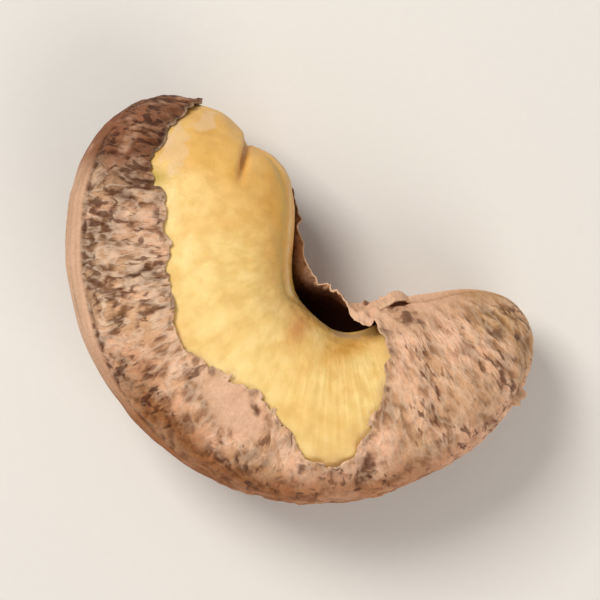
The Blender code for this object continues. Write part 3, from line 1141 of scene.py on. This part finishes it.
    def toast_and_shade(self, station: np.ndarray, around: np.ndarray, points: np.ndarray,
              covered: np.ndarray) -> np.ndarray:
        """Give where the skin is dark brown: in spots, in the crack, beside the ribs and along the tear.

        Args:
            station: Places along the midline.
            around: Angles about it.
            points: The smooth form's points.
            covered: Distance from the torn edge, into the skin.

        Returns:
            The share of brown, 1 or more where it is full.
        """
        above = self.form.above_seam(station, around)
        on_back = np.cos(around) > 0
        toast_and_shade = sum(spot.mask(points) for spot in self.toasted) * (1.0 - self.banded(station, around))
        toast_and_shade = 0.8 * ramp(toast_and_shade + 0.55 * noise_at(points, 0.45, 3, 21.0), 0.3, 0.85) * ramp(toast_and_shade, 0.05, 0.2)
        arc, reach = self.cracked(points)
        toast_and_shade += 1.3 * bell(arc, 0.12) * reach
        beside = bell(above - self.rib_middle - self.rib_half_width - 0.25, 0.2) * on_back
        toast_and_shade += 0.6 * beside * ramp(station, 0.1, -0.25) * ramp(station, -0.93, -0.8) * (
            0.6 + noise_at(points, 1.0, 2, 27.0))
        toast_and_shade += 0.35 * bell(above - 0.75, 0.14) * ~on_back * ramp(station, 0.45, 0.6)
        dotted = noise_at(points, 0.55, 2, 41.0)
        return toast_and_shade + 0.65 * bell(covered - 0.2, 0.3) * ramp(dotted, 0.15, 0.4)

    def thicken(self, piece: bpy.types.Object, covered: np.ndarray) -> None:
        """Give the skin its thickness, thinner along the torn edge.

        Args:
            piece: The skin, still a sheet.
            covered: Distance of each vertex from the torn edge.
        """
        group = piece.vertex_groups.new(name="full_thickness")
        levels = np.round(ramp(covered, 0.0, 1.0) * self.thickness_levels).astype(int)
        for level in range(self.thickness_levels + 1):
            group.add(np.nonzero(levels == level)[0].tolist(), level / self.thickness_levels, "REPLACE")
        give_thickness(piece, self.thickness, group.name, self.torn_thickness)

    def paint_shade_inside(self, mesh: bpy.types.Mesh, station: np.ndarray, around: np.ndarray,
                     covered: np.ndarray) -> None:
        """Paint shade, dark brown, on the inner side across the notch. Its vertices come after the outer
        side's, in their order.

        Args:
            mesh: The skin, with its thickness.
            station: Places of the outer vertices along the midline.
            around: Their angles about it.
            covered: Their distance from the torn edge.
        """
        # Painted shade: darker on the inner side across the notch, away from its torn edge.
        in_notch = ramp(np.cos(around), -0.4, -0.7) * ramp(station, -0.4, -0.1) * ramp(station, 0.75, 0.6)
        brown = in_notch * ramp(covered, 0.15, 0.5)
        for mask, share in ((Mask.TOAST, self.painted_shade_in_toast), (Mask.SCORCH, self.painted_shade_in_scorch)):
            stored = mesh.attributes[mask.value].data
            values = np.empty(len(stored))
            stored.foreach_get("value", values)
            inner = slice(len(brown), 2 * len(brown))
            values[inner] = np.maximum(values[inner], share * brown)
            stored.foreach_set("value", values)


@dataclass
class Scrap:
    """A crumpled fold of skin, loose along the side nearer the top and grown to the rest on the other."""

    skin: Skin
    name: str
    station: float
    around: float
    length: float
    width: float
    turn: float
    arch: float
    pointed: float = 0.0
    crumple: float = 0.3
    thickness: float = 0.14
    cuts: tuple[int, int] = (56, 30)
    furrowed: float = 0.62
    mottled: float = 0.35
    paled: float = 0.45
    sunk: float = 0.1
    far_from_tear: float = 9.0

    def build(self) -> bpy.types.Object:
        """Shape the scrap, still about the middle of the midline.

        Returns:
            The new piece, with its masks painted and its thickness applied.
        """
        bpy.ops.object.select_all(action="DESELECT")
        bpy.ops.mesh.primitive_grid_add(x_subdivisions=self.cuts[0], y_subdivisions=self.cuts[1], size=1.0,
                                        calc_uvs=False)
        piece = bpy.context.active_object
        piece.name = piece.data.name = self.name
        flat = coordinates(piece.data)
        u, v = 2.0 * flat[:, 0], 2.0 * flat[:, 1]
        taper = 1.0 - self.pointed * np.clip(0.5 + 0.5 * v, 0.0, 1.0)
        reach = 1.0 - 0.35 * u**4 + 0.7 * self.crumple * noise_at(flat * 3.0, 0.8, 3, self.station * 10)
        lengthways = u * taper * self.length / 2 * (1.0 + 0.08 * noise_at(flat * 4.0, 1.0, 2, 2.0))
        sideways = v * reach * self.width / 2
        form = self.skin.form
        cosine, sine = math.cos(self.turn), math.sin(self.turn)
        station = self.station + (lengthways * cosine - sideways * sine) / (form.midline_length / 2)
        around = self.around + (lengthways * sine + sideways * cosine) / form.half_thickness
        points = form.points(station, around)
        set_coordinates(piece.data, points)
        middle = len(points) // 2
        outward = points[middle] - np.array([float(axis) for axis in self.midpoint(station[middle])])
        if normals(piece.data)[middle] @ outward < 0:
            piece.data.flip_normals()
        far = np.full(len(points), self.far_from_tear)
        held = (1.0 - u**4) * ramp(v, 1.0, 0.0)
        bow = np.sqrt(np.clip(1.0 - 0.9 * (v + 0.3) ** 2, 0.0, None)) * (1.0 + 0.25 * np.sin(2.2 * u + 0.6))
        crumple = self.crumple * noise_at(flat * np.array((self.length, self.width * 1.6, 1.0)), 0.9, 3, 6.0)
        rise = self.skin.outer_rise(station, around, points, far) - self.sunk
        rise += (self.arch * bow + crumple) * held
        set_coordinates(piece.data, points + normals(piece.data) * rise[:, None])
        grain = form.straightened(station, around)
        paint(piece.data, Mask.GRAIN, grain)
        paint(piece.data, Mask.FURROW, self.furrowed + 1.2 * crumple)
        paint(piece.data, Mask.MOTTLE, np.full(len(points), self.mottled))
        paint(piece.data, Mask.BAND, np.full(len(points), self.paled))
        # Paler along the loose edge: the torn edge's colour, with a painted highlight where the roll catches
        # the light.
        paint(piece.data, Mask.RIM, 0.5 * ramp(-v, 0.8, 1.0))
        give_thickness(piece, self.thickness)
        return piece

    def midpoint(self, station: float) -> tuple[float, float, float]:
        """Give the point of the midline at a station."""
        x, y, _ = self.skin.form.midline(np.array([station]))
        return x[0], y[0], 0.0


@dataclass
class CashewNut:
    """The whole nut: the kernel inside its skin, set where the frame has it."""

    form: NutForm = field(default_factory=NutForm)
    tear: Tear = field(default_factory=Tear)

    def build(self) -> None:
        """Build, place and dress both layers, and the scraps that hang on the skin."""
        kernel = Kernel(self.form, self.tear).build()
        skin_layer = Skin(self.form, self.tear)
        skin = skin_layer.build()
        flap = Scrap(skin_layer, "skin_flap", station=0.60, around=2.78, length=4.4, width=1.9, turn=0.1,
                     arch=0.75, crumple=0.08).build()
        flake = Scrap(skin_layer, "skin_flake", station=0.81, around=0.42, length=1.2, width=1.1, turn=0.3,
                      arch=0.45, pointed=0.6).build()
        place = volume_centre(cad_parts["kernel"].data) / MM - volume_centre(kernel.data)
        log.info("the midline's middle is at %s mm", np.round(place, 3))
        flesh, testa = RoastedKernel().material(), RoastedSkin().material()
        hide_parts("kernel")
        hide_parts("skin")
        for piece, node, material in ((kernel, "kernel", flesh), (skin, "skin", testa), (flap, "skin", testa),
                                      (flake, "skin", testa)):
            points = (coordinates(piece.data) + place) * MM
            points[:, 2] = np.maximum(points[:, 2], 0.0)
            set_coordinates(piece.data, points)
            piece.data.shade_smooth()
            piece.data.materials.append(material)
            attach(piece, "root")
            log.info("%s: %d faces", piece.name, len(piece.data.polygons))


@dataclass(frozen=True)
class SoftLight:
    """A square light. Its direction is right, up and towards the camera; lengths are metres, power watts."""

    name: str
    direction: tuple[float, float, float]
    distance: float
    size: float
    power: float
    colour: str


@dataclass(frozen=True)
class Studio:
    """A pale floor, soft light and a camera that looks straight down, turned as the photograph is."""

    roll: float = math.radians(33.9)
    view_width: float = 0.0365
    view_shift: tuple[float, float] = (0.0019, 0.00175)
    lens_mm: float = 150.0
    sensor_mm: float = 36.0
    near_clip: float = 0.005
    floor_size: float = 1.2
    room: str = "#f3f1ee"
    room_strength: float = 0.34
    lights: tuple[SoftLight, ...] = (
        SoftLight("key_light", (-0.6, 0.65, 1.15), 0.30, 0.12, 0.66, "#fff8ee"),
        SoftLight("fill_light", (0.55, -0.8, 0.8), 0.30, 0.20, 0.34, "#fff4e8"),
    )

    def in_view(self, right: float, up: float, towards: float) -> Vector:
        """Turn a direction given as the picture shows it into the nut's frame."""
        return Matrix.Rotation(self.roll, 3, "Z") @ Vector((right, up, towards))

    def add_floor(self) -> None:
        """Lay the floor under the nut."""
        bpy.ops.object.select_all(action="DESELECT")
        bpy.ops.mesh.primitive_plane_add(size=self.floor_size)
        floor = bpy.context.active_object
        floor.name = floor.data.name = "floor"
        floor.data.materials.append(PaleFloor().material())
        floor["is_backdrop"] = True

    def add_light(self, soft: SoftLight) -> None:
        """Hang a soft square light.

        Args:
            soft: Its name, place, size and power.
        """
        lamp = bpy.data.lights.new(soft.name, "AREA")
        lamp.size = soft.size
        lamp.energy = soft.power
        lamp.color = hex_to_linear(soft.colour)[:3]
        light = bpy.data.objects.new(soft.name, lamp)
        light.location = self.in_view(*soft.direction).normalized() * soft.distance
        light.rotation_euler = light.location.to_track_quat("Z", "Y").to_euler()
        bpy.context.scene.collection.objects.link(light)

    def add_camera(self) -> None:
        """Set the camera above the nut."""
        camera = bpy.data.cameras.new("camera")
        camera.lens = self.lens_mm
        camera.sensor_width = self.sensor_mm
        camera.clip_start = self.near_clip
        eye = bpy.data.objects.new("camera", camera)
        low, high = (Vector(corner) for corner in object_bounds())
        middle = (low + high) / 2
        distance = self.view_width * self.lens_mm / self.sensor_mm
        eye.location = middle + self.in_view(*self.view_shift, distance)
        eye.rotation_euler = (0.0, 0.0, self.roll)
        bpy.context.scene.collection.objects.link(eye)
        bpy.context.scene.camera = eye

    def build(self) -> None:
        """Set up the floor, the lights and the camera."""
        self.add_floor()
        for soft in self.lights:
            self.add_light(soft)
        world = bpy.data.worlds.new("soft_room")
        world.use_nodes = True
        background = world.node_tree.nodes["Background"]
        background.inputs["Color"].default_value = hex_to_linear(self.room)
        background.inputs["Strength"].default_value = self.room_strength
        bpy.context.scene.world = world
        bpy.context.scene.view_settings.view_transform = "Standard"
        self.add_camera()


def main() -> None:
    """Build the nut and the studio."""
    logging.basicConfig(level=logging.INFO, format="%(message)s")
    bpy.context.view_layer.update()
    CashewNut().build()
    Studio().build()


if __name__ == "__main__":
    main()
